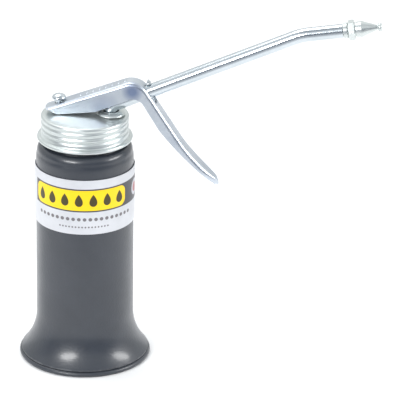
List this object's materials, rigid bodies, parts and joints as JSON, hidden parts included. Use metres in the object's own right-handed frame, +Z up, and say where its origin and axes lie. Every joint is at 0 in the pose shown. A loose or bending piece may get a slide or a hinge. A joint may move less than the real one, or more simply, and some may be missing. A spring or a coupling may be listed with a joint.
{
  "type": "handy oiler can",
  "caption": "Trigger-pump oil can: flared metal reservoir, screw cap with a squeeze lever and plunger, and a long bent spout ending in a fine nozzle.",
  "frame": {"origin": "on the can's axis, at the centre of the base panel, within 1 mm of the plane the can stands on", "axes": "+Z up along the can's axis, +X the way the spout points, XZ the plane of symmetry"},
  "size_m": [0.1649, 0.061, 0.1705],
  "materials": {
    "black_paint": "satin charcoal paint on steel sheet",
    "label": "printed silver-grey film",
    "zinc": "bright zinc plate",
    "brass": "turned brass",
    "steel": "bright steel",
    "gasket_rubber": "black nitrile",
    "leather": "oiled leather"
  },
  "bodies": {
    "can": {"can_body": "black_paint", "base_pan": "black_paint", "product_label": "label"},
    "gasket": {"cap_gasket": "gasket_rubber"},
    "head": {"screw_cap": "zinc", "pump_head": "brass", "spout_tube": "zinc", "spout_socket": "zinc", "fulcrum_clip": "zinc", "tube_ferrule": "zinc", "nozzle_tip": "zinc", "gland_bush": "brass", "rod_packing": "leather", "pump_barrel": "brass", "return_spring": "steel", "foot_valve_seat": "brass", "ball_cage": "brass", "pickup_tube": "brass"},
    "trigger": {"trigger_lever": "zinc"},
    "plunger": {"plunger_rod": "zinc", "piston_washer": "steel", "piston_cup": "leather", "piston_nut": "brass"},
    "inlet_valve": {"inlet_ball": "steel"},
    "outlet_valve": {"outlet_ball": "steel"}
  },
  "joints": [
    {"name": "cap_lift", "type": "slide", "parent": "can", "child": "gasket", "axis": [0, 0, 1], "range_m": [0, 0.007]},
    {"name": "cap_turn", "type": "hinge", "parent": "gasket", "child": "head", "pos_m": [0, 0, 0.117], "axis": [0, 0, 1], "range_deg": [0, 900]},
    {"name": "trigger_squeeze", "type": "hinge", "parent": "head", "child": "trigger", "pos_m": [0.0276, 0, 0.135], "axis": [0, 1, 0], "range_deg": [0, 20], "stiffness_Nm_per_rad": 0.3, "springref_deg": -5.73},
    {"name": "plunger_stroke", "type": "slide", "parent": "head", "child": "plunger", "axis": [0, 0, 1], "range_m": [0, 0.0131], "stiffness_N_per_m": 4, "springref_m": -0.004, "deforming": ["return_spring"]},
    {"name": "inlet_lift", "type": "slide", "parent": "head", "child": "inlet_valve", "axis": [0, 0, 1], "range_m": [0, 0.0012]},
    {"name": "outlet_lift", "type": "slide", "parent": "head", "child": "outlet_valve", "axis": [0, 0, 1], "range_m": [0, 0.0012]}
  ],
  "couplings": [
    {"joint": "cap_lift", "follows": "cap_turn", "m_per_rad": 0.00044563},
    {"joint": "plunger_stroke", "follows": "trigger_squeeze", "m_per_rad": 0.0373},
    {"joint": "inlet_lift", "follows": "trigger_squeeze", "m_per_rad": 0.0034},
    {"joint": "outlet_lift", "follows": "trigger_squeeze", "m_per_rad": 0.0034}
  ]
}
